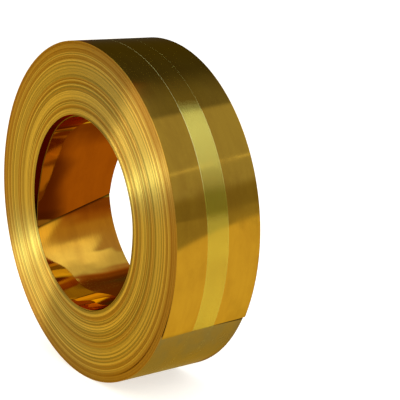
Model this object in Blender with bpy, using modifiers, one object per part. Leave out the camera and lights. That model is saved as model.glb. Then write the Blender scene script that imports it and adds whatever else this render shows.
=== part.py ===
"""Roll of brass strip: a spiral wound coil standing on its curved side, held by a band of clear tape.

The roll's axis lies along Y and the roll stands on Z = 0, with the origin under the middle of its box.
Angles run from +X towards +Z as seen looking along +Y, and going round with a growing angle leads
inwards through the turns: the outer free end is low on the right, the inner one on the left of the bore.
"""

import math

import bmesh
import bpy

# The strip and the bore it is wound round, in metres
STRIP_WIDTH = 0.095
STRIP_THICKNESS = 0.001
BORE_DIAMETER = 0.200

# Where the strip's two free ends lie, in degrees
OUTER_END_ANGLE = -31.0
INNER_END_ANGLE = 191.0

# The innermost turn springs off the wall of the bore over this stretch, up to its free end
TAIL_LIFT_ANGLE = 83.0
TAIL_GAP = 0.010
TAIL_PEAK = 0.62

# Groups of turns from the bore outwards, as the number of turns and how far they slipped along the axis
TURN_GROUPS = (
    (7, 0.0001),
    (5, -0.0002),
    (6, 0.0003),
    (8, 0.0),
    (6, -0.0003),
    (4, 0.0001),
    (7, -0.0001),
    (6, 0.0002),
    (5, 0.0),
    (6, -0.0002),
    (7, 0.0003),
    (5, -0.0001),
)
OUTER_TURN_SLIP = 0.00015
INNER_TURN_SLIP = -0.00015

# The tape, its place from the near end face, and the stretch where it lies double
TAPE_WIDTH = 0.024
TAPE_THICKNESS = 0.0002
TAPE_PROUD = 0.00005
TAPE_NEAR_EDGE = 0.034
TAPE_OVERLAP_START = 196.0
TAPE_OVERLAP_END = 208.0

# How far separate pieces stand apart, and how deep fused ones reach into each other
CLEARANCE = 0.0003
BITE = 0.0005
COVER = 0.00002

# The round faces are made of flats, one of them at the very bottom
FACETS = 72
FACET_ANGLE = 360.0 / FACETS
FIRST_CORNER = FACET_ANGLE / 2.0
CLOSEST_ANGLES = 0.01

# The wall between the innermost and outermost turns, and the outside of the roll at its free end
WALL_START = BORE_DIAMETER / 2.0 + STRIP_THICKNESS
WALL_END = WALL_START + STRIP_THICKNESS * sum(turns for turns, slip in TURN_GROUPS)
ROLL_RADIUS = WALL_END + STRIP_THICKNESS


def clear_scene():
    """Empty the file of objects and make the collections for the model and its cutters."""
    for old in list(bpy.data.objects):
        bpy.data.objects.remove(old, do_unlink=True)
    model = bpy.data.collections.new("brass_strip_roll")
    bpy.context.scene.collection.children.link(model)
    return model


def make_material(name, colour, roughness, metallic, alpha=1.0):
    """One Principled material."""
    material = bpy.data.materials.new(name)
    material.use_nodes = True
    shader = material.node_tree.nodes["Principled BSDF"]
    shader.inputs["Base Color"].default_value = (*colour, 1.0)
    shader.inputs["Roughness"].default_value = roughness
    shader.inputs["Metallic"].default_value = metallic
    shader.inputs["Alpha"].default_value = alpha
    return material


def facet_point(radius, angle):
    """A point on the faceted circle whose flats lie at the radius, in the plane of the end faces."""
    from_middle = (angle + FIRST_CORNER) % FACET_ANGLE - FIRST_CORNER
    reach = radius / math.cos(math.radians(from_middle))
    turn = math.radians(angle)
    return reach * math.cos(turn), reach * math.sin(turn)


def facet_angles(start, end):
    """The start, every facet corner in between and the end, in degrees."""
    corners = [FIRST_CORNER + step * FACET_ANGLE for step in range(-FACETS, 3 * FACETS)]
    between = [corner for corner in corners if start + CLOSEST_ANGLES < corner < end - CLOSEST_ANGLES]
    return [start, *between, end]


def circle_outline(radius):
    """The corners of a closed faceted circle."""
    return [facet_point(radius, FIRST_CORNER + step * FACET_ANGLE) for step in range(FACETS)]


def outer_radius(angle):
    """The outside of the outermost turn, which sinks by one thickness in each turn from the free end."""
    wound = (angle - OUTER_END_ANGLE) / 360.0
    return ROLL_RADIUS - STRIP_THICKNESS * wound


def outer_outline(offset=0.0, extra=0.0):
    """The spiral outside of the roll, pushed out by the offset, with the step at its free end.

    The step moves along by the offset too, so that outlines at unlike offsets don't touch there.
    The extra offset is added where the tape lies double.
    """
    start = OUTER_END_ANGLE - math.degrees(offset / ROLL_RADIUS)
    outline = []
    for angle in facet_angles(start, start + 360.0):
        doubled = extra if TAPE_OVERLAP_START <= angle <= TAPE_OVERLAP_END else 0.0
        outline.append(facet_point(outer_radius(angle) + offset + doubled, angle))
    return outline


def tail_gap(angle):
    """How far the loose tail stands off the wall: nothing at both ends, and most past its middle."""
    share = (angle - TAIL_LIFT_ANGLE - 360.0) / (INNER_END_ANGLE - TAIL_LIFT_ANGLE)
    if share <= 0.0 or share >= 1.0:
        return 0.0
    bent = share ** (math.log(0.5) / math.log(TAIL_PEAK))
    return TAIL_GAP * math.sin(math.pi * bent) ** 1.3


def inner_radius(angle):
    """The inside of the innermost turn, from the wall past the inner free end round to that end."""
    wound = (angle - INNER_END_ANGLE) / 360.0
    return BORE_DIAMETER / 2.0 - STRIP_THICKNESS * wound - tail_gap(angle)


def bore_outline():
    """The spiral inside of the bore, with the loose tail and the step at its free end."""
    angles = facet_angles(INNER_END_ANGLE, INNER_END_ANGLE + 360.0)
    return [facet_point(inner_radius(angle), angle) for angle in angles]


def tail_slot_outline():
    """The crescent of air between the loose tail and the wall behind it."""
    angles = facet_angles(TAIL_LIFT_ANGLE + 360.0, INNER_END_ANGLE + 360.0)[1:-1]
    wall = []
    back = []
    for angle in angles:
        behind = inner_radius(angle) + STRIP_THICKNESS
        back.append(facet_point(behind, angle))
        wall.append(facet_point(behind + tail_gap(angle), angle))
    return wall + back[::-1]


def extruded_outline(name, outlines, near, far):
    """A solid between the distances near and far along Y, from closed outlines in the XZ plane."""
    curve = bpy.data.curves.new(name, "CURVE")
    curve.dimensions = "2D"
    curve.fill_mode = "BOTH"
    curve.extrude = (far - near) / 2.0
    for outline in outlines:
        spline = curve.splines.new("POLY")
        spline.points.add(len(outline) - 1)
        for point, (x, z) in zip(spline.points, outline):
            point.co = (x, z, 0.0, 1.0)
        spline.use_cyclic_u = True
    drawn = bpy.data.objects.new(name + "_outline", curve)
    drawn.rotation_euler = (math.pi / 2.0, 0.0, 0.0)
    drawn.location = (0.0, (near + far) / 2.0, 0.0)
    bpy.context.scene.collection.objects.link(drawn)
    bpy.context.view_layer.update()

    depsgraph = bpy.context.evaluated_depsgraph_get()
    mesh = bpy.data.meshes.new_from_object(drawn.evaluated_get(depsgraph))
    mesh.transform(drawn.matrix_world)
    solid = bpy.data.objects.new(name, mesh)
    bpy.data.objects.remove(drawn, do_unlink=True)

    edit = bmesh.new()
    edit.from_mesh(mesh)
    bmesh.ops.remove_doubles(edit, verts=edit.verts, dist=0.000001)
    bmesh.ops.recalc_face_normals(edit, faces=edit.faces)
    edit.to_mesh(mesh)
    edit.free()
    return solid


def wall_profile():
    """The wall's cross-section as (radius, height) points, stepped on both ends where groups slipped.

    It runs down the outside, in along the far end, up the bore's side and out along the near end.
    """
    near = []
    far = []
    radius = WALL_START
    for turns, slip in TURN_GROUPS:
        for edge in (radius, radius + turns * STRIP_THICKNESS):
            shown = min(max(edge, WALL_START + COVER), WALL_END - COVER)
            near.append((shown, STRIP_WIDTH / 2.0 - slip))
            far.append((shown, -STRIP_WIDTH / 2.0 - slip))
        radius += turns * STRIP_THICKNESS
    return [near[-1], *reversed(far), *near[:-1]]


def turned_wall():
    """The wound wall between the outermost and innermost turns, turned about the roll's axis."""
    corner = 1.0 / math.cos(math.radians(FIRST_CORNER))
    profile = [(radius * corner, 0.0, height) for radius, height in wall_profile()]
    count = len(profile)
    mesh = bpy.data.meshes.new("strip_roll")
    mesh.from_pydata(profile, [(step, (step + 1) % count) for step in range(count)], [])
    wall = bpy.data.objects.new("strip_roll", mesh)
    wall.rotation_euler = (math.pi / 2.0, -math.radians(FIRST_CORNER), 0.0)
    screw = wall.modifiers.new("turn", "SCREW")
    screw.axis = "Z"
    screw.angle = 2.0 * math.pi
    screw.steps = FACETS
    screw.render_steps = FACETS
    screw.use_merge_vertices = True
    screw.merge_threshold = 0.00001
    return wall


def outer_turn():
    """The outermost turn with its step at the free end, as a ring that covers the wall."""
    ring = circle_outline(WALL_END - COVER - BITE)
    near = -STRIP_WIDTH / 2.0 + OUTER_TURN_SLIP
    return extruded_outline("outer_turn", [outer_outline(), ring], near, near + STRIP_WIDTH)


def inner_turn():
    """The innermost turn with its loose tail, as a ring that lines the wall."""
    ring = circle_outline(WALL_START + COVER + BITE)
    near = -STRIP_WIDTH / 2.0 + INNER_TURN_SLIP
    outlines = [ring, tail_slot_outline(), bore_outline()]
    return extruded_outline("inner_turn", outlines, near, near + STRIP_WIDTH)


def tape_seat():
    """The shallow band let into the outermost turn, so that the tape lies as flush as thin film does."""
    near = -STRIP_WIDTH / 2.0 + TAPE_NEAR_EDGE - CLEARANCE
    far = near + TAPE_WIDTH + 2.0 * CLEARANCE
    floor = outer_outline(TAPE_PROUD - TAPE_THICKNESS - CLEARANCE)
    return extruded_outline("tape_seat", [circle_outline(ROLL_RADIUS + BITE), floor], near, far)


def holding_tape():
    """The band of tape round the roll, double where its ends overlap."""
    near = -STRIP_WIDTH / 2.0 + TAPE_NEAR_EDGE
    outside = outer_outline(TAPE_PROUD, extra=TAPE_THICKNESS)
    inside = outer_outline(TAPE_PROUD - TAPE_THICKNESS)
    return extruded_outline("holding_tape", [outside, inside], near, near + TAPE_WIDTH)


def add_boolean(target, tool, operation, tools):
    """Fuse the tool with the target, or cut it away, by a Boolean that stays on the target."""
    tools.objects.link(tool)
    tool.hide_render = True
    tool.display_type = "WIRE"
    boolean = target.modifiers.new(tool.name, "BOOLEAN")
    boolean.operation = operation
    boolean.solver = "EXACT"
    boolean.object = tool


def shade_round(solid):
    """Smooth the round faces and keep the edges sharp."""
    solid.data.shade_smooth()
    solid.data.set_sharp_from_angle(angle=math.radians(30.0))


def stand_on_floor(tape, others):
    """Move all so that the tape, the outermost piece, stands on Z = 0 over the origin."""
    low = min(vertex.co.z for vertex in tape.data.vertices)
    left = min(vertex.co.x for vertex in tape.data.vertices)
    right = max(vertex.co.x for vertex in tape.data.vertices)
    for piece in (tape, *others):
        piece.location.x -= (left + right) / 2.0
        piece.location.z -= low


def main():
    model = clear_scene()
    tools = bpy.data.collections.new("turns_and_cutters")
    bpy.context.scene.collection.children.link(tools)

    roll = turned_wall()
    outer = outer_turn()
    inner = inner_turn()
    seat = tape_seat()
    tape = holding_tape()
    roll.data.materials.append(make_material("rolled_brass", (0.72, 0.42, 0.05), 0.25, 1.0))
    tape.data.materials.append(make_material("clear_tape", (0.72, 0.72, 0.20), 0.1, 0.0, 0.35))
    stand_on_floor(tape, [roll, outer, inner, seat])

    for piece in (roll, tape):
        model.objects.link(piece)
        shade_round(piece)
    add_boolean(roll, outer, "UNION", tools)
    add_boolean(roll, inner, "UNION", tools)
    add_boolean(roll, seat, "DIFFERENCE", tools)
    bpy.context.view_layer.update()


main()
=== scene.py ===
"""Dresses the roll of brass strip: every turn of the strip, its slit edges, the tape and a plain studio."""

import math

import bpy
import numpy as np
from bpy.props import FloatProperty, FloatVectorProperty, IntProperty, PointerProperty
from bpy.types import Operator, Panel, PropertyGroup
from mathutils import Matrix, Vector


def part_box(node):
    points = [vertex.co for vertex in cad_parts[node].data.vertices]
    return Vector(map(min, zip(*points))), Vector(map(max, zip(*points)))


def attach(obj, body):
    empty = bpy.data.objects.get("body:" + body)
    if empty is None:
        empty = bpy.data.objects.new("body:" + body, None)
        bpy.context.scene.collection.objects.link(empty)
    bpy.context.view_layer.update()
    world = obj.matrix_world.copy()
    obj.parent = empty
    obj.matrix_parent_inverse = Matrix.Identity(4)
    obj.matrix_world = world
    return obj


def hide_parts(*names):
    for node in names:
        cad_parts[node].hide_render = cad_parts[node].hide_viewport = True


bl_info = {
    "name": "Brass strip roll",
    "version": (1, 0, 0),
    "blender": (4, 5, 0),
    "location": "3D View > Sidebar > Brass roll",
    "description": "Winds a roll of brass strip, tapes it and sets it in a plain studio",
    "category": "Add Mesh",
}

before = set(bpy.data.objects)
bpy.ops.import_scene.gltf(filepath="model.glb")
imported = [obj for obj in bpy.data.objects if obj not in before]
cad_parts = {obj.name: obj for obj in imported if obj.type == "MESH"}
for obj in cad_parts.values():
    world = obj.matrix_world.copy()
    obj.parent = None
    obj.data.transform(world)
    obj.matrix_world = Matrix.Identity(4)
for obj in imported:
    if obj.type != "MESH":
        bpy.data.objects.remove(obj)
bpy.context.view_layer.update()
ROLL_LOW, ROLL_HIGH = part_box("strip_roll")
TAPE_LOW, TAPE_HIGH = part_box("holding_tape")

# The strip's two free ends and its thickness, which set how the spiral lies in the frame's box
STRIP_THICKNESS = 0.001
OUTER_END = math.radians(-31.0)
INNER_END = math.radians(191.0)
WHOLE_TURN = 2.0 * math.pi


def turns_to(angle):
    """Turns wound from the outer free end until the strip first passes an angle."""
    return (angle - OUTER_END) / WHOLE_TURN % 1.0


# The spiral's two sides differ by part of a thickness, so the box's sides give its radius and axis
ROLL_RADIUS = (ROLL_HIGH.x - ROLL_LOW.x + STRIP_THICKNESS * (turns_to(0.0) + turns_to(math.pi))) / 2.0
AXIS_X = ROLL_HIGH.x - ROLL_RADIUS + STRIP_THICKNESS * turns_to(0.0)
AXIS_Z = ROLL_LOW.z + ROLL_RADIUS - STRIP_THICKNESS * turns_to(-math.pi / 2.0)
MOST_SLIP = 0.0003
STRIP_WIDTH = ROLL_HIGH.y - ROLL_LOW.y - 2.0 * MOST_SLIP

# How many turns lie between the two free ends, and where the three wound pieces meet
ALL_TURNS = 73.0 + turns_to(INNER_END)
OUTER_STOP = 1.06
INNER_START = ALL_TURNS - 1.9

# How far groups of turns slip, and how far each turn strays along its way
GROUP_SLIP = 0.00022
STRAY_SLIP = 0.00004

# The stretch where the outer turns hang slack, and the turns over which the outer end springs up
SLACK_START = math.radians(-74.0)
SLACK_SPAN = math.radians(52.0)
LIFT_TURNS = 0.07

# Heights of the waves in the outer face, and of the dips in the loose inner one
SLOW_WAVE = 0.000012
QUICK_WAVE = 0.000003
INNER_DIP = 0.00055

# How far along the strip a slant at its end dies out, in turns
SLANT_FADE = 0.12

# Room for rounding when columns are told apart by their place, in metres
ROUNDING = 0.000001

# The tape's start and end, where its second layer starts, and how soon it climbs the strip's end, in degrees
TAPE_START = 196.0
TAPE_STOP = 568.0
SECOND_LAYER = (555.5, 556.5)
CLIMB = 2.2

# Stretches of the strip that look unlike the rest: from and to, in turns from the outer end. The stretch past
# the outer end is rougher and coloured as a painted reflection of shaded floor; the tail's stretch and top
# get painted shade, its tip a painted shadow line and its edges painted shade; behind the tail is a painted
# glow
DULL_SHADED_STRETCH = (0.76, 0.90)
TAIL_STRETCH = (ALL_TURNS - 0.27, ALL_TURNS - 0.24)
TAIL_TOP = (ALL_TURNS - 0.19, ALL_TURNS - 0.13)
TAIL_TIP = (ALL_TURNS - 0.010, ALL_TURNS + 0.002)
TAIL_EDGE = (ALL_TURNS - 0.36, ALL_TURNS - 0.21)
BEHIND_TAIL = ((ALL_TURNS - 1.30, ALL_TURNS - 1.26), (ALL_TURNS - 1.05, ALL_TURNS - 1.01))
BORE_TURNS = (70.0, 71.0)

# Stretches of the tape: the one with painted shade, the clear one high up, the clear one past the strip's
# end, and the two where its edges show as painted highlights, and how much of the strip the film covers
# elsewhere
TAPE_SHADED = ((0.100, 0.112), (0.124, 0.140))
TAPE_CLEAR = ((0.196, 0.214), (0.37, 0.42))
TAPE_PAST_END = (0.80, 0.96)
TAPE_LIT_EDGES = ((0.09, 0.15), (0.31, 0.36))
TAPE_LOW_EDGES = (0.88, 0.95)
TAPE_COVER = 0.27

# The room that the curved side mirrors: where it gets lighter or darker and by how much, a thin light line,
# and how far both lean. Here and for the panel, heights are angles about the roll's axis, in degrees up from
# the right, and a side is the share of a ray that runs along that axis, towards the far end
ROOM_STEPS = ((12.0, 20.0, 0.15), (72.0, 76.0, -0.210), (80.0, 115.0, -0.105))
ROOM_LINE = 33.5
ROOM_LEAN = 130.0
ROOM_LOW_TINT = (1.0, 0.86, 0.43, 1.0)
ROOM_HIGH_TINT = (1.0, 0.963, 0.774, 1.0)
PLAIN_ROOM = (0.60, 0.59, 0.50, 1.0)

# The panel that the bore mirrors: its three darker steps and the share of light left past each, how far they
# lean, how far its borders waver, a thin glint, and its tints
PANEL_STEPS = ((77.0, 84.0, 0.68), (86.0, 95.0, 0.40), (97.0, 104.0, 0.45))
PANEL_LEAN = 80.0
PANEL_WAVER = 26.0
PANEL_GLINT = 39.0
PANEL_DARK_TINT = (1.0, 0.31, 0.05, 1.0)
PANEL_LOW_TINT = (1.0, 0.73, 0.27, 1.0)
PANEL_HIGH_TINT = (1.0, 0.93, 0.82, 1.0)
PATCH_TINT = (1.0, 1.1, 1.0, 1.0)

# The floor as the metal mirrors it
FLOOR_LEFT = (0.90, 0.74, 0.30, 1.0)
FLOOR_RIGHT = (0.71, 0.575, 0.225, 1.0)
FLOOR_FAR = (0.31, 0.267, 0.133, 1.0)
# The painted shadow of the roll on the floor beneath it, for mirrored rays
FLOOR_UNDER_SHADOW = (0.42, 0.353, 0.142, 1.0)
FLOOR_DARK_BROWN = (0.20, 0.058, 0.009, 1.0)
FLOOR_BROWN = (0.39, 0.133, 0.013, 1.0)
FLOOR_REACH = 14.0
FLOOR_GLOW = 0.62

# Name, place, width, length, power and colour of each lamp
LAMPS = (
    ("key_softbox", (1.54, -0.05, 1.90), 2.1, 1.55, 12.5, (1.0, 1.0, 1.0)),
    ("far_end_softbox", (0.10, 2.10, 0.95), 2.0, 2.0, 10.0, (1.0, 1.0, 1.0)),
    ("end_softbox", (-0.40, -1.50, 0.76), 0.35, 1.20, 6.4, (0.98, 0.88, 0.60)),
    ("end_strip", (-0.45, -1.50, 0.245), 0.28, 0.08, 3.0, (0.80, 1.08, 1.1)),
)


class StripSizes(PropertyGroup):
    """The strip and how it is wound."""

    thickness: FloatProperty(
        name="Thickness", description="Thickness of the strip",
        default=STRIP_THICKNESS, unit="LENGTH", precision=4,
    )
    bore_radius: FloatProperty(
        name="Bore radius", description="Radius of the bore at the inner free end",
        default=0.100, unit="LENGTH",
    )
    edge_round: FloatProperty(
        name="Edge round", description="Rounding of the slit edges",
        default=0.00016, unit="LENGTH", precision=5,
    )
    tail_gap: FloatProperty(
        name="Tail gap", description="How far the loose inner tail springs off the wall",
        default=0.0125, unit="LENGTH",
    )
    tail_lift: FloatProperty(
        name="Tail lift", description="Angle at which the tail leaves the wall",
        default=math.radians(83.0), subtype="ANGLE",
    )
    slack: FloatProperty(
        name="Slack", description="Widest gap under the outer turns, low on the right",
        default=0.0009, unit="LENGTH", precision=4,
    )
    slack_turns: IntProperty(name="Slack turns", description="Turns outside the slack gap", default=7, min=0)
    outer_slant: FloatProperty(
        name="Outer slant", description="Angle between the two corners of the outer end",
        default=math.radians(-2.0), subtype="ANGLE",
    )
    inner_slant: FloatProperty(
        name="Inner slant", description="Angle between the two corners of the inner end",
        default=math.radians(15.0), subtype="ANGLE",
    )
    end_lift: FloatProperty(
        name="End lift", description="How far the outer end springs up",
        default=0.0010, unit="LENGTH", precision=4,
    )
    edge_tilt: FloatProperty(
        name="Edge tilt", description="How far a slit edge leans off square",
        default=0.00016, unit="LENGTH", precision=5,
    )
    face_colour: FloatVectorProperty(
        name="Rolled face", description="Colour of the rolled faces",
        default=(0.80, 0.50, 0.07), subtype="COLOR", size=3, min=0.0, max=1.0,
    )
    edge_colour: FloatVectorProperty(
        name="Slit edge", description="Colour of the slit edges",
        default=(0.80, 0.56, 0.13), subtype="COLOR", size=3, min=0.0, max=1.0,
    )
    # Real tarnish, and also darkened for the painted shadow lines and the painted shade on the tail's edges
    stain_and_shadow_colour: FloatVectorProperty(
        name="Stain", description="Colour of tarnished turns",
        default=(0.42, 0.19, 0.03), subtype="COLOR", size=3, min=0.0, max=1.0,
    )
    # Colour of the painted shade on the tail's near side and top
    tail_shade_colour: FloatVectorProperty(
        name="Shade", description="Colour of the tail's near side",
        default=(0.27, 0.080, 0.010), subtype="COLOR", size=3, min=0.0, max=1.0,
    )
    sheen_colour: FloatVectorProperty(
        name="Sheen", description="Tint of the brass where it is seen edge on",
        default=(1.0, 0.78, 0.35), subtype="COLOR", size=3, min=0.0, max=1.0,
    )
    # Colour of the stretch past the outer end, a painted reflection of shaded floor; the stretch is also
    # rougher
    dull_shaded_colour: FloatVectorProperty(
        name="Dull face", description="Colour of the dull stretch past the outer end",
        default=(0.53, 0.42, 0.22), subtype="COLOR", size=3, min=0.0, max=1.0,
    )


class TapeSizes(PropertyGroup):
    """The tape that holds the outer end."""

    near_edge: FloatProperty(
        name="Near edge", description="Where the tape starts along the roll's axis",
        default=TAPE_LOW.y, unit="LENGTH",
    )
    width: FloatProperty(
        name="Width", description="Width of the tape",
        default=TAPE_HIGH.y - TAPE_LOW.y, unit="LENGTH",
    )
    proud: FloatProperty(
        name="Proud", description="How far the tape's face stands off the strip",
        default=0.00004, unit="LENGTH", precision=5,
    )
    film: FloatProperty(
        name="Film", description="Thickness of the film",
        default=0.00002, unit="LENGTH", precision=5,
    )
    colour: FloatVectorProperty(
        name="Film colour", description="Colour of the film",
        default=(0.97, 0.96, 0.24), subtype="COLOR", size=3, min=0.0, max=1.0,
    )
    # The film's own edges, made paler as a painted highlight where they show
    edge_colour: FloatVectorProperty(
        name="Film edge", description="Colour of the film's edges",
        default=(0.85, 0.80, 0.42), subtype="COLOR", size=3, min=0.0, max=1.0,
    )
    # Colour of the painted shade on the film
    shaded_colour: FloatVectorProperty(
        name="Shaded film", description="Colour of the shaded stretch",
        default=(0.50, 0.48, 0.06), subtype="COLOR", size=3, min=0.0, max=1.0,
    )


class StageSizes(PropertyGroup):
    """The camera, lamps and floor."""

    azimuth: FloatProperty(
        name="Azimuth", description="Turn of the camera from the roll's axis",
        default=math.radians(54.4), subtype="ANGLE",
    )
    pitch: FloatProperty(
        name="Pitch", description="How far the camera looks down",
        default=0.2032, subtype="ANGLE",
    )
    back: FloatProperty(
        name="Back", description="Level distance from the near end to the camera",
        default=1.102, unit="LENGTH",
    )
    aside: FloatProperty(
        name="Aside", description="How far the camera passes the near end on its right",
        default=0.1218, unit="LENGTH",
    )
    above: FloatProperty(
        name="Above", description="Height of the camera over the roll's axis",
        default=0.241, unit="LENGTH",
    )
    lens: FloatProperty(name="Lens", description="Focal length on 36 mm", default=100.2, unit="CAMERA")
    floor_colour: FloatVectorProperty(
        name="Floor", description="Colour of the floor",
        default=(0.80, 0.77, 0.70), subtype="COLOR", size=3, min=0.0, max=1.0,
    )


def smooth_step(value, low, high):
    """Nought below low, one above high, and three squares less two cubes of the share between."""
    share = np.clip((value - low) / (high - low), 0.0, 1.0)
    return share * share * (3.0 - 2.0 * share)


# How many knots a random line has before it repeats, and the knot at nought
KNOTS = 4096
FIRST_KNOT = 1024.0


def wander(value, step, seed):
    """A smooth random line: seeded knots one step apart, joined by half cosine waves, between -1 and 1."""
    knots = np.random.default_rng(seed).uniform(-1.0, 1.0, KNOTS)
    place = value / step + FIRST_KNOT
    first = np.floor(place).astype(int) % KNOTS
    share = 0.5 - 0.5 * np.cos(np.pi * (place - np.floor(place)))
    return knots[first] * (1.0 - share) + knots[(first + 1) % KNOTS] * share


def pitch(sizes):
    """How far the spiral closes in per turn: the strip's thickness and the air that winding leaves."""
    return (ROLL_RADIUS - sizes.bore_radius) / ALL_TURNS


def turn_slip(turns):
    """How far a turn has slipped along the axis: two smooth random lines over whole turns, which move groups
    of a few turns together, and a third along the strip."""
    group = wander(np.floor(turns + 0.5), 4.0, 3) + 0.8 * wander(np.floor(turns + 0.5), 1.0, 5)
    stray = wander(turns, 0.35, 11)
    return np.clip(GROUP_SLIP * group + STRAY_SLIP * stray, -MOST_SLIP, MOST_SLIP)


def slack_bulge(turns, angle, sizes):
    """How far the slack outer turns stand out: a squared sine over a low stretch on the right."""
    share = ((angle + math.pi) % WHOLE_TURN - math.pi - SLACK_START) / SLACK_SPAN
    bump = np.where((share > 0.0) & (share < 1.0), np.sin(np.pi * np.clip(share, 0.0, 1.0)) ** 2, 0.0)
    return sizes.slack * bump * (np.round(turns) <= sizes.slack_turns)


def tail_gap(turns, across, sizes):
    """How far the loose tail stands off the wall: a skewed sine to a power that falls from 1.3 to 1, nought
    at both ends, so that it leaves the wall gently and meets it again at a slant."""
    lift_turns = ALL_TURNS - (INNER_END - sizes.tail_lift) / WHOLE_TURN
    end_turns = ALL_TURNS - across / STRIP_WIDTH * sizes.inner_slant / WHOLE_TURN
    share = np.clip((turns - lift_turns) / (end_turns - lift_turns), 0.0, 1.0)
    skewed = share ** 1.45
    return sizes.tail_gap * np.clip(np.sin(np.pi * skewed), 0.0, 1.0) ** (1.3 - 0.3 * share)


def ripple(turns, across):
    """A faint wave in the two loose faces: cosine waves on a slant that wander along the strip. The inner one
    only dips towards the axis, so that it never cuts into the turn behind."""
    along = turns * WHOLE_TURN * ROLL_RADIUS
    slow = np.cos(along / 0.017 + across / 0.024) * wander(along, 0.09, 21)
    dips = -0.5 - 0.5 * np.cos(along / 0.018 + across / 0.024 + 1.2 * wander(along, 0.12, 27))
    quick = np.cos(along / 0.007 - across / 0.025) * wander(along, 0.05, 23)
    inner = smooth_step(turns, ALL_TURNS - 1.02, ALL_TURNS - 0.97)
    inner = inner * smooth_step(ALL_TURNS - turns, 0.0, 0.05)
    outer = turns < 1.5
    return (SLOW_WAVE * slow + QUICK_WAVE * quick) * outer + INNER_DIP * dips * inner


def end_lift(turns, across, sizes):
    """How far the outer end springs up: the square of the share of its last 25 degrees, times a factor that
    grows towards its corners by the power 1.5."""
    share = np.clip(1.0 - turns / LIFT_TURNS, 0.0, 1.0)
    from_tape = np.abs(across - (TAPE_LOW.y + TAPE_HIGH.y) / 2.0) / (STRIP_WIDTH / 2.0)
    return sizes.end_lift * share ** 2 * (0.7 + 0.5 * np.clip(from_tape, 0.0, 1.0) ** 1.5)


def outer_face(turns, across, sizes):
    """Radius of the strip's outer face: the roll's, less an even share per turn and the tail's gap, plus the
    slack, the lift and the ripple."""
    angle = OUTER_END + WHOLE_TURN * turns
    radius = ROLL_RADIUS - pitch(sizes) * turns - tail_gap(turns, across, sizes)
    radius = radius + slack_bulge(turns, angle, sizes) + end_lift(turns, across, sizes)
    return radius + ripple(turns, across)


def place_on_roll(radius, turns, across):
    """Points in the frame from polar ones about the roll's axis."""
    angle = OUTER_END + WHOLE_TURN * turns
    parts = AXIS_X + radius * np.cos(angle), across, AXIS_Z + radius * np.sin(angle)
    return np.stack(np.broadcast_arrays(*parts), axis=-1)


def slanted(turns, across, start, end, start_slant, end_slant):
    """Turns moved so that the stretch starts and ends on a slant, in proportion to the place across the strip
    and fading evenly inwards."""
    side = across / STRIP_WIDTH
    at_start = -side * start_slant / WHOLE_TURN * np.clip(1.0 - (turns - start) / SLANT_FADE, 0.0, 1.0)
    at_end = -side * end_slant / WHOLE_TURN * np.clip(1.0 - (end - turns) / SLANT_FADE, 0.0, 1.0)
    return turns + at_start + at_end


def section(sizes, spans):
    """Depth below the outer face and place across the strip, round its cross-section: two flat faces with
    evenly spaced points between edges that are rounded by three short chords each."""
    half = STRIP_WIDTH / 2.0
    curve = sizes.edge_round
    thick = sizes.thickness
    side = np.linspace(-half + 0.0012, half - 0.0012, spans) if spans else np.empty(0)
    edge_depth = np.array([0.0, 0.0, 0.3 * curve, curve, thick - curve, thick - 0.3 * curve, thick, thick])
    edge_inset = np.array([3.0 * curve, curve, 0.3 * curve, 0.0, 0.0, 0.3 * curve, curve, 3.0 * curve])
    if not spans:
        edge_depth = edge_depth[[1, 3, 4, 6]]
        edge_inset = edge_inset[[1, 3, 4, 6]]
    depth = np.concatenate([edge_depth, np.full(len(side), thick), edge_depth[::-1], np.zeros(len(side))])
    across = np.concatenate([edge_inset - half, side, half - edge_inset[::-1], side[::-1]])
    return depth, across


def edge_lean(turns, across, depth, sizes):
    """How far a slit edge's corner is set back: a smooth random line, mostly below nought, whose sign says
    which of the two corners it moves."""
    lean = sizes.edge_tilt * (wander(turns, 0.9, 31) - 0.55) * (1.0 + 0.3 * np.sign(across)[None, :])
    outer_corner = (depth < sizes.thickness / 2.0)[None, :]
    at_edge = (np.abs(across) > STRIP_WIDTH / 2.0 - 3.5 * sizes.edge_round)[None, :]
    return at_edge * np.where(outer_corner, np.clip(lean, 0.0, None), np.clip(-lean, 0.0, None))


def skin(name, points, place, faces_of_edge, materials):
    """A closed tube from a grid of points: rows follow the strip, columns go round it, and both ends are
    capped."""
    rows, columns = points.shape[:2]
    index = np.arange(rows * columns).reshape(rows, columns)
    ahead = np.roll(index, -1, axis=1)
    quads = np.stack([index[:-1], ahead[:-1], ahead[1:], index[1:]], axis=-1).reshape(-1, 4)
    caps = [index[0][::-1].tolist(), index[-1].tolist()]
    mesh = bpy.data.meshes.new(name)
    mesh.from_pydata(points.reshape(-1, 3), [], quads.tolist() + caps)
    kinds = np.concatenate([np.tile(faces_of_edge, rows - 1), [1, 1]]).astype(np.int32)
    for material in materials:
        mesh.materials.append(material)
    mesh.polygons.foreach_set("material_index", kinds)
    attribute = mesh.attributes.new("strip_place", "FLOAT_VECTOR", "POINT")
    attribute.data.foreach_set("vector", place.reshape(-1).astype(np.float32))
    turn_outwards(mesh)
    mesh.shade_smooth()
    mesh.set_sharp_from_angle(angle=math.radians(62.0))
    return add_piece(name, mesh)


def turn_outwards(mesh):
    """Flips the faces of a closed skin if the volume that they enclose comes out negative."""
    mesh.calc_loop_triangles()
    corners = np.empty(len(mesh.loop_triangles) * 3, np.int32)
    mesh.loop_triangles.foreach_get("vertices", corners)
    points = np.empty(len(mesh.vertices) * 3)
    mesh.vertices.foreach_get("co", points)
    a, b, c = points.reshape(-1, 3)[corners.reshape(-1, 3)].transpose(1, 0, 2)
    if np.einsum("ij,ij->i", a, np.cross(b, c)).sum() < 0.0:
        mesh.flip_normals()
    mesh.update()


def add_piece(name, mesh):
    """An object at the origin for a finished mesh, riding on the roll's only body."""
    piece = bpy.data.objects.new(name, mesh)
    bpy.context.scene.collection.objects.link(piece)
    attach(piece, "root")
    return piece


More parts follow.
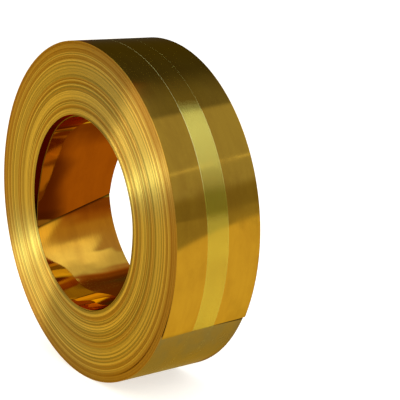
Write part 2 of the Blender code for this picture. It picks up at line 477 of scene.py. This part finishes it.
def wind(name, start, end, steps, spans, slants, sizes, materials):
    """A stretch of the strip, wound: each row's turns and each column's depth and place across give polar
    points about the roll's axis, whose radius is the outer face's less the depth."""
    depth, across = section(sizes, spans)
    rows = np.linspace(start, end, int(round((end - start) * steps)) + 1)[:, None]
    turns = slanted(rows, across[None, :], start, end, *slants)
    radius = outer_face(turns, across[None, :], sizes) - depth[None, :]
    slip = turn_slip(turns) - np.sign(across)[None, :] * edge_lean(turns, across, depth, sizes)
    points = place_on_roll(radius, turns, across[None, :] + slip)
    along = WHOLE_TURN * turns * (ROLL_RADIUS - pitch(sizes) * turns / 2.0)
    place = np.stack([along, np.broadcast_to(across, along.shape), turns + 0.0 * along], axis=-1)
    edge_from = STRIP_WIDTH / 2.0 - sizes.edge_round - ROUNDING
    on_edge = np.abs(np.stack([across, np.roll(across, -1)])).min(axis=0) >= edge_from
    piece = skin(name, points, place, on_edge.astype(np.int32), materials)
    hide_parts("strip_roll")


# Shader helpers


class Graph:
    """A node tree with short calls for adding nodes and joining them."""

    def __init__(self, tree):
        self.tree = tree

    def add(self, kind, inputs=None, **settings):
        """A node with its settings, and its inputs set to values or joined to sockets."""
        node = self.tree.nodes.new(kind)
        for key, value in settings.items():
            setattr(node, key, value)
        for key, value in (inputs or {}).items():
            if isinstance(value, bpy.types.NodeSocket):
                self.tree.links.new(value, node.inputs[key])
            else:
                node.inputs[key].default_value = value
        return node

    def math(self, operation, first, second=0.0, third=0.0, clamp=False):
        """One sum on numbers."""
        terms = {0: first, 1: second, 2: third}
        return self.add("ShaderNodeMath", terms, operation=operation, use_clamp=clamp).outputs[0]

    def product(self, first, *others):
        """Numbers multiplied in turn."""
        for other in others:
            first = self.math("MULTIPLY", first, other)
        return first

    def distance(self, value, middle):
        """How far a value lies from a middle one, on either side."""
        return self.math("ABSOLUTE", self.math("SUBTRACT", value, middle))

    def over_line(self, value, other, slope):
        """A value less a share of another."""
        return self.math("SUBTRACT", value, self.math("MULTIPLY", other, slope))

    def between(self, value, low, high, out_low=0.0, out_high=1.0):
        """A value mapped smoothly from one range to another."""
        inputs = {"Value": value, "From Min": low, "From Max": high, "To Min": out_low, "To Max": out_high}
        return self.add("ShaderNodeMapRange", inputs, interpolation_type="SMOOTHSTEP").outputs["Result"]

    def band(self, value, rise, fall, level=1.0):
        """A smooth rise times a smooth fall from a level, each between two values."""
        return self.product(self.between(value, *rise), self.between(value, *fall, level, 0.0))

    def mix(self, factor, first, second, blend="MIX"):
        """Two colours mixed."""
        node = self.add("ShaderNodeMix", {"Factor": factor}, data_type="RGBA", blend_type=blend)
        for socket, value in ((node.inputs[6], first), (node.inputs[7], second)):
            if isinstance(value, bpy.types.NodeSocket):
                self.tree.links.new(value, socket)
            else:
                socket.default_value = value
        return node.outputs[2]

    def tinted(self, level, tint):
        """A level of light in a tint."""
        grey = self.add("ShaderNodeCombineColor", {0: level, 1: level, 2: level}).outputs[0]
        return self.mix(1.0, grey, tint, "MULTIPLY")

    def by_ray(self, lit, mirrored, seen):
        """One shader for camera rays, one for mirrored rays and one for all others."""
        paths = self.add("ShaderNodeLightPath").outputs
        others = self.add("ShaderNodeMixShader", {0: paths["Is Glossy Ray"], 1: lit, 2: mirrored}).outputs[0]
        return self.add("ShaderNodeMixShader", {0: paths["Is Camera Ray"], 1: others, 2: seen}).outputs[0]

    def noise(self, vector, scale, detail=2.0, roughness=0.5, distortion=0.0):
        """Noise between nought and one, in three dimensions."""
        inputs = {"Vector": vector, "Scale": scale, "Detail": detail, "Roughness": roughness}
        inputs["Distortion"] = distortion
        return self.add("ShaderNodeTexNoise", inputs).outputs["Fac"]

    def stretch(self, vector, scale, shift=(0.0, 0.0, 0.0)):
        """A vector stretched along its own axes and shifted."""
        return self.add("ShaderNodeMapping", {"Vector": vector, "Scale": scale, "Location": shift}).outputs[0]


def new_group(name, inputs, outputs):
    """An empty node group with named sockets, and its graph and ends."""
    tree = bpy.data.node_groups.new(name, "ShaderNodeTree")
    for label, kind, value in inputs:
        socket = tree.interface.new_socket(label, in_out="INPUT", socket_type=kind)
        if value is not None:
            socket.default_value = value
    for label, kind in outputs:
        tree.interface.new_socket(label, in_out="OUTPUT", socket_type=kind)
    graph = Graph(tree)
    return graph, graph.add("NodeGroupInput").outputs, graph.add("NodeGroupOutput")


def rolling_lines_group():
    """Fine lines that the mill leaves along the strip: noise drawn out along it and crowded across it."""
    graph, given, result = new_group(
        "Rolling lines",
        [
            ("Place", "NodeSocketVector", None),
            ("Along", "NodeSocketFloat", 6.0),
            ("Across", "NodeSocketFloat", 900.0),
        ],
        [("Lines", "NodeSocketFloat"), ("Streaks", "NodeSocketFloat")],
    )
    parts = graph.add("ShaderNodeSeparateXYZ", {"Vector": given["Place"]}).outputs
    along = graph.math("MULTIPLY", parts["X"], given["Along"])
    across = graph.math("MULTIPLY", parts["Y"], given["Across"])
    fine = graph.add("ShaderNodeCombineXYZ", {"X": along, "Y": across, "Z": parts["Z"]}).outputs[0]
    broad = graph.add(
        "ShaderNodeCombineXYZ",
        {"X": graph.math("MULTIPLY", along, 0.4), "Y": graph.math("MULTIPLY", across, 0.12), "Z": parts["Z"]},
    ).outputs[0]
    graph.tree.links.new(graph.noise(fine, 1.0, 3.0, 0.6), result.inputs["Lines"])
    graph.tree.links.new(graph.noise(broad, 1.0, 3.0, 0.55), result.inputs["Streaks"])
    return graph.tree


def handling_haze_group():
    """Cloudy marks from handling and oil: two sizes of noise in the frame, sharpened into patches."""
    graph, given, result = new_group(
        "Handling haze",
        [("Size", "NodeSocketFloat", 14.0), ("Cover", "NodeSocketFloat", 0.5)],
        [("Haze", "NodeSocketFloat")],
    )
    where = graph.add("ShaderNodeTexCoord").outputs["Object"]
    large = graph.noise(where, given["Size"], 4.0, 0.55, 0.4)
    small = graph.noise(where, graph.math("MULTIPLY", given["Size"], 6.0), 3.0, 0.6)
    both = graph.math("ADD", graph.math("MULTIPLY", large, 0.75), graph.math("MULTIPLY", small, 0.25))
    low = graph.math("SUBTRACT", 0.85, graph.math("MULTIPLY", given["Cover"], 0.6))
    high = graph.math("ADD", low, 0.25)
    graph.tree.links.new(graph.between(both, low, high), result.inputs["Haze"])
    return graph.tree


def shared_group(name, build):
    """A node group by name, built the first time."""
    return bpy.data.node_groups.get(name) or build()


def new_material(name):
    """An empty material, its graph and its Principled shader."""
    material = bpy.data.materials.new(name)
    material.use_nodes = True
    graph = Graph(material.node_tree)
    shader = material.node_tree.nodes["Principled BSDF"]
    return material, graph, shader


def colour4(colour, share=1.0):
    """A colour with full cover, darkened by a share."""
    return (colour[0] * share, colour[1] * share, colour[2] * share, 1.0)


def add_group(graph, tree, **values):
    """A shared group placed in a material with its own values."""
    node = graph.add("ShaderNodeGroup", node_tree=tree)
    for label, value in values.items():
        socket = node.inputs[label]
        if isinstance(value, bpy.types.NodeSocket):
            graph.tree.links.new(value, socket)
        else:
            socket.default_value = value
    return node.outputs


def rolled_face_material(sizes):
    """Bright rolled brass: a near mirror with mill lines along the strip and hazy patches. The near side and
    the top of the tail are darker, a painted shade, and both free ends have a dark painted shadow line, as
    has the wall past the tail's end. The stretch past the outer end is rougher, and its colour is a painted
    reflection of the shaded floor. The deepest part of the gap behind the tail glows faintly, a painted glow
    for light that bounces there often."""
    material, graph, shader = new_material("rolled_brass_face")
    place = graph.add("ShaderNodeAttribute", attribute_name="strip_place").outputs["Vector"]
    parts = graph.add("ShaderNodeSeparateXYZ", {"Vector": place}).outputs
    across = parts["Y"]
    turn = parts["Z"]
    lines = add_group(graph, shared_group("Rolling lines", rolling_lines_group), Place=place)
    haze = add_group(graph, shared_group("Handling haze", handling_haze_group), Size=13.0, Cover=0.62)["Haze"]
    smudges = graph.noise(graph.stretch(place, (0.5, 1.0, 0.02)), 48.0, 5.0, 0.6, 0.3)

    stain = colour4(sizes.stain_and_shadow_colour)
    painted_shadow_line = colour4(sizes.stain_and_shadow_colour, 0.15)
    hazy = graph.math("MULTIPLY", haze, 0.75)
    colour = graph.mix(hazy, colour4(sizes.face_colour), colour4(sizes.face_colour, 0.80))
    colour = graph.mix(graph.between(smudges, 0.35, 0.70, 0.0, 0.22), colour, stain)
    colour = graph.mix(graph.between(lines["Streaks"], 0.35, 0.75, 0.0, 0.10), colour, stain)

    # Painted shade: the tail's near side and its top are darkened
    near_side = graph.between(across, -0.040, -0.008, 0.8, 0.0)
    top = graph.between(turn, *TAIL_TOP, 0.25, 0.0)
    tail_shade = graph.product(graph.between(turn, *TAIL_STRETCH), graph.math("MAXIMUM", near_side, top))
    colour = graph.mix(tail_shade, colour, colour4(sizes.tail_shade_colour))
    # Painted shadow: a dark line at the tail's tip, on its near side
    tip = graph.product(graph.between(turn, *TAIL_TIP), graph.between(across, -0.022, -0.004, 0.30, 0.0))
    colour = graph.mix(tip, colour, painted_shadow_line)
    # Painted shadow: a dark line on the wall just past the tail's slanted end
    slant = graph.math("MULTIPLY", across, sizes.inner_slant / WHOLE_TURN / STRIP_WIDTH)
    past_tail = graph.math("ADD", graph.math("SUBTRACT", turn, ALL_TURNS - 1.0), slant)
    colour = graph.mix(graph.band(past_tail, (-0.006, -0.004), (0.001, 0.006), 0.85), colour, painted_shadow_line)

    # The stretch past the outer end: rougher, and its colour a painted reflection of the shaded floor under
    # the roll
    past_end = graph.product(graph.between(turn, *DULL_SHADED_STRETCH), graph.math("LESS_THAN", turn, 1.002))
    dull_shaded = graph.product(past_end, graph.between(smudges, 0.35, 0.65, 0.6, 1.0))
    colour = graph.mix(dull_shaded, colour, colour4(sizes.dull_shaded_colour))
    # Painted shadow: a dark line under the outer free end
    at_end = graph.between(graph.distance(turn, 0.9995), 0.0009, 0.0021, 0.85, 0.0)
    colour = graph.mix(at_end, colour, colour4(sizes.stain_and_shadow_colour, 0.2))

    rough = graph.math("ADD", graph.math("MULTIPLY", haze, 0.09), 0.05)
    rough = graph.math("ADD", rough, graph.math("MULTIPLY", lines["Lines"], 0.04))
    rough = graph.math("ADD", rough, graph.math("MULTIPLY", past_end, 0.14))
    rough = graph.product(rough, graph.between(turn, *BORE_TURNS, 1.0, 0.50))
    bump = graph.add("ShaderNodeBump", {"Strength": 0.10, "Distance": 0.00003, "Height": lines["Lines"]})
    glow = graph.mix(graph.band(turn, *BEHIND_TAIL), (0.0, 0.0, 0.0, 1.0), (0.030, 0.0015, 0.0, 1.0))
    shader.inputs["Emission Strength"].default_value = 1.0
    shader.inputs["Metallic"].default_value = 1.0
    shader.inputs["Specular Tint"].default_value = colour4(sizes.sheen_colour)
    graph.tree.links.new(colour, shader.inputs["Base Color"])
    graph.tree.links.new(rough, shader.inputs["Roughness"])
    graph.tree.links.new(bump.outputs["Normal"], shader.inputs["Normal"])
    graph.tree.links.new(glow, shader.inputs["Emission Color"])
    return material


def slit_edge_material(sizes):
    """Slit edges: satin brass, brushed along the strip, whose tone changes from turn to turn. Some groups of
    turns and the outermost ones are tarnished. The tail's edges and its end are darker, a painted shade."""
    material, graph, shader = new_material("slit_edge_brass")
    place = graph.add("ShaderNodeAttribute", attribute_name="strip_place").outputs["Vector"]
    parts = graph.add("ShaderNodeSeparateXYZ", {"Vector": place}).outputs
    along = graph.math("MULTIPLY", parts["X"], 0.9)
    where = graph.add("ShaderNodeCombineXYZ", {"X": along, "Y": parts["Z"]}).outputs[0]
    turn_tone = graph.noise(graph.stretch(where, (0.15, 0.45, 1.0)), 1.0, 2.0, 0.7)
    group_tone = graph.noise(graph.stretch(where, (0.15, 0.16, 1.0), (3.0, 7.0, 0.0)), 1.3, 3.0, 0.6)
    haze = add_group(graph, shared_group("Handling haze", handling_haze_group), Size=9.0, Cover=0.5)["Haze"]

    stain = colour4(sizes.stain_and_shadow_colour)
    dark_turns = graph.between(turn_tone, 0.42, 0.60, 0.0, 0.8)
    colour = graph.mix(dark_turns, colour4(sizes.edge_colour), colour4(sizes.edge_colour, 0.42))
    colour = graph.mix(graph.between(group_tone, 0.50, 0.64, 0.0, 0.7), colour, stain)
    outermost = graph.between(parts["Z"], 6.0, 15.0, 1.5, 0.0)
    colour = graph.mix(graph.math("MULTIPLY", outermost, turn_tone, clamp=True), colour, stain)
    # Painted shade: the tail's slit edges and its end are darkened
    on_tail = graph.between(parts["Z"], *TAIL_EDGE, 0.0, 0.9)
    colour = graph.mix(on_tail, colour, colour4(sizes.stain_and_shadow_colour, 0.35))
    colour = graph.mix(graph.math("MULTIPLY", haze, 0.25), colour, colour4(sizes.edge_colour, 0.8))

    lines = add_group(
        graph, shared_group("Rolling lines", rolling_lines_group), Place=place, Along=30.0, Across=1500.0
    )
    bump = graph.add("ShaderNodeBump", {"Strength": 0.15, "Distance": 0.00006, "Height": lines["Lines"]})
    spot = graph.add("ShaderNodeTexCoord").outputs["Object"]
    axis = (AXIS_X, 0.0, AXIS_Z)
    spot = graph.add("ShaderNodeVectorMath", {0: spot, 1: axis}, operation="SUBTRACT").outputs[0]
    spot = graph.add("ShaderNodeVectorMath", {0: spot, 1: (1.0, 0.0, 1.0)}, operation="MULTIPLY").outputs[0]
    outwards = graph.add("ShaderNodeVectorMath", {0: spot}, operation="NORMALIZE").outputs[0]
    shader.inputs["Anisotropic"].default_value = 1.0
    shader.inputs["Metallic"].default_value = 1.0
    shader.inputs["Specular Tint"].default_value = colour4(sizes.sheen_colour)
    graph.tree.links.new(outwards, shader.inputs["Tangent"])
    graph.tree.links.new(colour, shader.inputs["Base Color"])
    graph.tree.links.new(graph.between(turn_tone, 0.3, 0.7, 0.36, 0.46), shader.inputs["Roughness"])
    graph.tree.links.new(bump.outputs["Normal"], shader.inputs["Normal"])
    return material


def tape_material(sizes):
    """Thin glossy film in a yellow-green tint, hazy, with paler edges that show as painted highlights in a
    few stretches. It is darker in one stretch, a painted shade, and clear high up and past the strip's end.
    Only the camera sees it, so it casts no shade on the strip."""
    material, graph, shader = new_material("clear_tape_film")
    place = graph.add("ShaderNodeAttribute", attribute_name="strip_place").outputs["Vector"]
    parts = graph.add("ShaderNodeSeparateXYZ", {"Vector": place}).outputs
    across = parts["Y"]
    turn = parts["Z"]
    middle = (TAPE_LOW.y + TAPE_HIGH.y) / 2.0
    from_edge = graph.math("SUBTRACT", sizes.width / 2.0, graph.distance(across, middle))
    # Painted highlight: the film's edges show paler only in stretches where they catch the light, more on the
    # near edge
    near_or_far = graph.between(across, middle - 0.002, middle + 0.002, 0.60, 0.25)
    lit = graph.product(graph.band(turn, *TAPE_LIT_EDGES), near_or_far)
    low = graph.between(turn, *TAPE_LOW_EDGES, 0.08, 0.22)
    edge = graph.product(graph.between(from_edge, 0.0003, 0.0008, 1.0, 0.0), graph.math("ADD", lit, low))
    haze = add_group(graph, shared_group("Handling haze", handling_haze_group), Size=18.0, Cover=0.5)["Haze"]
    # Painted shade: the film is darker and covers more in one stretch
    shaded = graph.band(turn, *TAPE_SHADED)

    colour = graph.mix(edge, colour4(sizes.colour), colour4(sizes.edge_colour))
    colour = graph.mix(shaded, colour, colour4(sizes.shaded_colour))
    cover = graph.math("ADD", TAPE_COVER, graph.math("MULTIPLY", haze, 0.06))
    cover = graph.product(cover, graph.math("SUBTRACT", 1.0, graph.between(turn, *TAPE_PAST_END)))
    cover = graph.math("ADD", cover, graph.math("MULTIPLY", shaded, 0.16))
    cover = graph.product(cover, graph.math("SUBTRACT", 1.0, graph.band(turn, *TAPE_CLEAR)))
    cover = graph.math("ADD", cover, graph.math("MULTIPLY", edge, 0.25))
    cover = graph.product(cover, graph.add("ShaderNodeLightPath").outputs["Is Camera Ray"])
    rough = graph.math("ADD", graph.math("MULTIPLY", haze, 0.04), 0.28)
    along_axis = graph.add("ShaderNodeCombineXYZ", {"Y": 1.0}).outputs[0]
    shader.inputs["Anisotropic"].default_value = 0.90
    shader.inputs["Specular Tint"].default_value = (0.95, 0.85, 0.30, 1.0)
    graph.tree.links.new(colour, shader.inputs["Base Color"])
    graph.tree.links.new(cover, shader.inputs["Alpha"])
    graph.tree.links.new(rough, shader.inputs["Roughness"])
    graph.tree.links.new(along_axis, shader.inputs["Tangent"])
    graph.tree.links.new(graph.math("SUBTRACT", 1.0, edge), shader.inputs["Metallic"])
    return material


# The operators


class BRASSROLL_OT_wound_turns(Operator):
    """Winds the turns between the outermost and the innermost, with their slit edges on both ends"""

    bl_idname = "brassroll.wound_turns"
    bl_label = "Wound turns"

    def execute(self, context):
        sizes = context.scene.brassroll_strip
        materials = [rolled_face_material(sizes), slit_edge_material(sizes)]
        wind("wound_turns", OUTER_STOP, INNER_START, 144, 0, (0.0, 0.0), sizes, materials)
        return {"FINISHED"}


class BRASSROLL_OT_outer_turn(Operator):
    """Lays the outermost turn, whose free end is cut on a slant and springs up at its corners"""

    bl_idname = "brassroll.outer_turn"
    bl_label = "Outer turn"

    def execute(self, context):
        sizes = context.scene.brassroll_strip
        materials = [bpy.data.materials["rolled_brass_face"], bpy.data.materials["slit_edge_brass"]]
        wind("outer_turn", 0.0, OUTER_STOP, 360, 24, (sizes.outer_slant, 0.0), sizes, materials)
        return {"FINISHED"}


class BRASSROLL_OT_inner_turns(Operator):
    """Lays the last two turns, whose loose tail springs off the wall of the bore"""

    bl_idname = "brassroll.inner_turns"
    bl_label = "Inner turns"

    def execute(self, context):
        sizes = context.scene.brassroll_strip
        materials = [bpy.data.materials["rolled_brass_face"], bpy.data.materials["slit_edge_brass"]]
        wind("inner_turns", INNER_START, ALL_TURNS, 320, 20, (0.0, sizes.inner_slant), sizes, materials)
        return {"FINISHED"}


class BRASSROLL_OT_tape(Operator):
    """Lays the clear tape round the roll, over the step at the strip's free end"""

    bl_idname = "brassroll.tape"
    bl_label = "Holding tape"

    def execute(self, context):
        strip = context.scene.brassroll_strip
        tape = context.scene.brassroll_tape
        columns = 9
        across = np.linspace(tape.near_edge, tape.near_edge + tape.width, columns)
        across = np.concatenate([across, across[::-1]])[None, :]
        even = np.linspace(TAPE_START, TAPE_STOP, 373)
        close = np.linspace(325.0, 330.0, 21)
        angles = np.radians(np.unique(np.concatenate([even, close])))
        angles = angles[:, None] + 0.0 * across
        turns = (angles - OUTER_END) / WHOLE_TURN % 1.0
        end = OUTER_END + WHOLE_TURN
        step = outer_face(0.0 * turns, across, strip) - outer_face(0.0 * turns + 1.0, across, strip)
        ramp = smooth_step(angles, end - math.radians(CLIMB), end) * (angles < end)
        second_layer = smooth_step(angles, *np.radians(SECOND_LAYER)) * tape.film
        lift = np.repeat([tape.proud, tape.proud - tape.film], columns)[None, :] + second_layer
        radius = outer_face(turns, across, strip) + ramp * step + lift
        points = place_on_roll(radius, (angles - OUTER_END) / WHOLE_TURN, across)
        along = WHOLE_TURN * turns * ROLL_RADIUS
        place = np.stack([along, np.broadcast_to(across, along.shape), turns], axis=-1)
        all_film = np.zeros(2 * columns, np.int32)
        piece = skin("holding_tape_film", points, place, all_film, [tape_material(tape)] * 2)
        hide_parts("holding_tape")
        return {"FINISHED"}


def area_lamp(name, place, width, length, power, colour):
    """A rectangular area lamp that faces the middle of the roll."""
    lamp = bpy.data.lights.new(name, "AREA")
    lamp.energy = power
    lamp.color = colour
    lamp.shape = "RECTANGLE"
    lamp.size = width
    lamp.size_y = length
    holder = bpy.data.objects.new(name, lamp)
    holder.location = place
    holder.visible_camera = False
    to_roll = Vector((AXIS_X, 0.0, AXIS_Z)) - Vector(place)
    holder.rotation_euler = to_roll.to_track_quat("-Z", "Y").to_euler()
    bpy.context.scene.collection.objects.link(holder)


def room_light(graph, side, height):
    """The dim room that the curved side mirrors: it gets lighter and darker in steps of height that lean with
    the side, with one thin light line, and its low part is yellower."""
    past = graph.math("SUBTRACT", graph.math("MAXIMUM", side, 0.52), 0.575)
    leaning = graph.over_line(height, past, ROOM_LEAN)
    light = graph.between(leaning, -1.0, 1.5, 0.31, 0.22)
    for low, high, change in ROOM_STEPS:
        light = graph.math("ADD", light, graph.between(leaning, low, high, 0.0, change))
    line = graph.between(graph.distance(leaning, ROOM_LINE), 0.2, 0.9, 0.46, 0.0)
    tint = graph.mix(graph.between(leaning, 13.0, 18.0), ROOM_LOW_TINT, ROOM_HIGH_TINT)
    return graph.tinted(graph.math("ADD", light, line), tint)


def panel_light(graph, look, side, height):
    """The lighter panel that the bore mirrors: a near and a far part that get lighter with height and end in
    leaning darker steps, with wavering borders and a thin glint. Its low near corner is dim. Two small
    patches are for rays that the bore mirrors twice."""
    blur = graph.noise(graph.stretch(look, (3.0, 28.0, 3.0)), 1.0, 1.0, 0.4)
    waver = graph.math("MULTIPLY", graph.math("SUBTRACT", blur, 0.5), PANEL_WAVER)
    wavy = graph.math("ADD", height, waver)
    near_part = graph.between(wavy, 14.0, 36.0, 0.36, 1.10)
    far_low = graph.between(wavy, 12.0, 24.0, 0.22, 0.44)
    far_high = graph.between(side, 0.47, 0.52, 1.06, 0.60)
    far_part = graph.between(graph.between(wavy, 64.0, 72.0), 0.0, 1.0, far_low, far_high)
    light = graph.between(side, 0.464, 0.474, near_part, far_part)
    glint = graph.between(graph.distance(height, PANEL_GLINT), 0.3, 1.0, 0.45, 0.0)
    glint = graph.product(glint, graph.between(side, 0.458, 0.464, 1.0, 0.0))
    light = graph.math("ADD", light, glint)

    leaning = graph.over_line(wavy, graph.math("SUBTRACT", side, 0.45), PANEL_LEAN)
    for low, high, share in PANEL_STEPS:
        light = graph.product(light, graph.between(leaning, low, high, 1.0, share))
    full = graph.math("MAXIMUM", graph.between(side, 0.430, 0.446), graph.between(height, 50.0, 60.0))
    light = graph.product(light, graph.between(full, 0.0, 1.0, 0.24, 1.0))
    tint = graph.mix(graph.between(height, 24.0, 70.0), PANEL_LOW_TINT, PANEL_HIGH_TINT)
    tint = graph.mix(graph.between(light, 0.22, 0.60), PANEL_DARK_TINT, tint)

    upper = graph.band(height, (96.0, 102.0), (124.0, 130.0))
    upper = graph.product(upper, graph.between(side, 0.470, 0.480, 1.1, 0.0))
    lower = graph.between(height, 10.0, 18.0, 1.0, 0.0)
    lower = graph.product(lower, graph.between(side, 0.434, 0.452, 1.0, 0.0))
    patches = graph.math("ADD", upper, lower)
    tint = graph.mix(graph.between(patches, 0.0, 0.3), tint, PATCH_TINT)
    return graph.tinted(graph.math("ADD", light, patches), tint)


def studio_world():
    """White to the camera and soft white for the rest. Mirrored rays see a dim room on the far side, with a
    lighter panel in one narrow stretch of sides, and a plain room elsewhere."""
    world = bpy.data.worlds.new("studio_world")
    bpy.context.scene.world = world
    world.use_nodes = True
    world.cycles.sampling_method = "NONE"
    world.node_tree.nodes.clear()
    graph = Graph(world.node_tree)
    look = graph.add("ShaderNodeTexCoord").outputs["Generated"]
    parts = graph.add("ShaderNodeSeparateXYZ", {"Vector": look}).outputs
    side = parts["Y"]
    height = graph.math("DEGREES", graph.math("ARCTAN2", parts["Z"], parts["X"]))

    far_limit = graph.math("ADD", side, graph.between(height, 98.0, 115.0, 0.0, 0.034))
    on_panel = graph.between(side, 0.395, 0.410)
    on_panel = graph.product(on_panel, graph.between(far_limit, 0.522, 0.536, 1.0, 0.0))
    room = graph.mix(on_panel, room_light(graph, side, height), panel_light(graph, look, side, height))
    ahead = graph.between(height, 100.0, 118.0, 0.45, 0.0)
    in_room = graph.between(graph.math("ADD", side, ahead), -0.15, 0.25)
    mirrored = graph.add("ShaderNodeBackground", {"Color": graph.mix(in_room, PLAIN_ROOM, room)})
    soft = graph.add("ShaderNodeBackground", {"Color": (0.7, 0.7, 0.7, 1.0)})
    white = graph.add("ShaderNodeBackground", {"Color": (1.0, 1.0, 1.0, 1.0)})
    surface = graph.by_ray(soft.outputs[0], mirrored.outputs[0], white.outputs[0])
    graph.add("ShaderNodeOutputWorld", {"Surface": surface})


def floor_material(colour):
    """A pale floor that the camera sees as white with a soft shadow. Mirrored rays see it yellow, brighter on
    the near left, dim in a painted shadow of the roll in a stretch under it, brown past the bore and dark far
    off on the right. Each stretch is bounded by straight lines over X and Y."""
    material = bpy.data.materials.new("pale_floor")
    material.use_nodes = True
    material.cycles.emission_sampling = "NONE"
    material.node_tree.nodes.clear()
    graph = Graph(material.node_tree)
    spot = graph.add("ShaderNodeTexCoord").outputs["Object"]
    parts = graph.add("ShaderNodeSeparateXYZ", {"Vector": spot}).outputs
    x = parts["X"]
    y = parts["Y"]
    near_right = graph.between(graph.math("ADD", x, y), -0.25, 0.05)
    mirrored = graph.mix(near_right, FLOOR_LEFT, FLOOR_RIGHT)
    far = graph.product(
        graph.between(graph.over_line(y, x, 0.83), -0.269, -0.245, 1.0, 0.0),
        graph.between(x, 0.45, 0.55),
        graph.between(graph.over_line(y, x, 0.45), -0.06, 0.0),
    )
    mirrored = graph.mix(far, mirrored, FLOOR_FAR)
    # Painted shadow of the roll on the floor beneath it, seen only by mirrored rays
    under = graph.product(
        graph.between(graph.over_line(x, y, 0.083), 0.154, 0.164, 1.0, 0.0),
        graph.between(graph.over_line(y, x, 0.40), 0.050, 0.060, 1.0, 0.0),
        graph.between(y, -0.06, -0.03),
        graph.between(x, -0.20, -0.12),
    )
    mirrored = graph.mix(under, mirrored, FLOOR_UNDER_SHADOW)
    past_bore = graph.product(
        graph.between(graph.over_line(y, x, 0.55), 0.030, 0.040),
        graph.between(x, 0.36, 0.42, 1.0, 0.0),
        graph.between(y, 0.30, 0.36, 1.0, 0.0),
        graph.between(x, -0.19, -0.165),
    )
    lighter = graph.product(
        graph.between(graph.over_line(y, x, 0.65), 0.070, 0.115), graph.between(x, -0.10, -0.02, 0.25, 1.0)
    )
    brown = graph.mix(lighter, FLOOR_DARK_BROWN, FLOOR_BROWN)
    mirrored = graph.add("ShaderNodeEmission", {"Color": graph.mix(past_bore, mirrored, brown)})

    plain = graph.add("ShaderNodeBsdfDiffuse", {"Color": colour4(colour)})
    glow = graph.add("ShaderNodeEmission", {"Strength": FLOOR_GLOW})
    white = graph.add("ShaderNodeAddShader", {0: plain.outputs[0], 1: glow.outputs[0]})
    surface = graph.by_ray(plain.outputs[0], mirrored.outputs[0], white.outputs[0])
    graph.add("ShaderNodeOutputMaterial", {"Surface": surface})
    return material


class BRASSROLL_OT_stage(Operator):
    """Sets the floor, lamps, world and camera"""

    bl_idname = "brassroll.stage"
    bl_label = "Stage"

    def execute(self, context):
        stage = context.scene.brassroll_stage
        corners = [(-1, -1, 0), (1, -1, 0), (1, 1, 0), (-1, 1, 0)]
        mesh = bpy.data.meshes.new("floor")
        mesh.from_pydata((np.array(corners) * FLOOR_REACH).tolist(), [], [(0, 1, 2, 3)])
        mesh.materials.append(floor_material(stage.floor_colour))
        floor = bpy.data.objects.new("floor", mesh)
        context.scene.collection.objects.link(floor)
        for lamp in LAMPS:
            area_lamp(*lamp)
        studio_world()
        self.add_camera(context, stage)
        context.scene.view_settings.view_transform = "Standard"
        return {"FINISHED"}

    def add_camera(self, context, stage):
        """A camera back along its azimuth from the near end, to its right and above the axis."""
        sine, cosine = math.sin(stage.azimuth), math.cos(stage.azimuth)
        near_end = Vector((AXIS_X, -STRIP_WIDTH / 2.0, AXIS_Z))
        back = Vector((sine, -cosine, 0.0))
        right = Vector((cosine, sine, 0.0))
        camera = bpy.data.objects.new("camera", bpy.data.cameras.new("camera"))
        camera.location = near_end + stage.back * back + stage.aside * right + Vector((0.0, 0.0, stage.above))
        camera.rotation_euler = (math.pi / 2.0 - stage.pitch, 0.0, stage.azimuth)
        camera.data.sensor_width = 36.0
        camera.data.lens = stage.lens
        camera.data.clip_start = 0.05
        camera.data.clip_end = 60.0
        context.scene.collection.objects.link(camera)
        context.scene.camera = camera


class BRASSROLL_PT_panel(Panel):
    """Lists the steps and their sizes"""

    bl_idname = "BRASSROLL_PT_panel"
    bl_label = "Brass strip roll"
    bl_space_type = "VIEW_3D"
    bl_region_type = "UI"
    bl_category = "Brass roll"

    def draw(self, context):
        for key in GROUPS:
            group = getattr(context.scene, key)
            box = self.layout.box()
            for name in group.__annotations__:
                box.prop(group, name)
        for step in STEPS:
            self.layout.operator(step.bl_idname)


GROUPS = {"brassroll_strip": StripSizes, "brassroll_tape": TapeSizes, "brassroll_stage": StageSizes}
STEPS = (
    BRASSROLL_OT_wound_turns,
    BRASSROLL_OT_outer_turn,
    BRASSROLL_OT_inner_turns,
    BRASSROLL_OT_tape,
    BRASSROLL_OT_stage,
)


def register():
    for group in GROUPS.values():
        bpy.utils.register_class(group)
    for name, group in GROUPS.items():
        setattr(bpy.types.Scene, name, PointerProperty(type=group))
    for step in (*STEPS, BRASSROLL_PT_panel):
        bpy.utils.register_class(step)


def unregister():
    for step in (BRASSROLL_PT_panel, *reversed(STEPS)):
        bpy.utils.unregister_class(step)
    for name, group in GROUPS.items():
        delattr(bpy.types.Scene, name)
        bpy.utils.unregister_class(group)


def main():
    register()
    bpy.ops.brassroll.wound_turns()
    bpy.ops.brassroll.outer_turn()
    bpy.ops.brassroll.inner_turns()
    bpy.ops.brassroll.tape()
    bpy.ops.brassroll.stage()


if __name__ == "__main__":
    main()
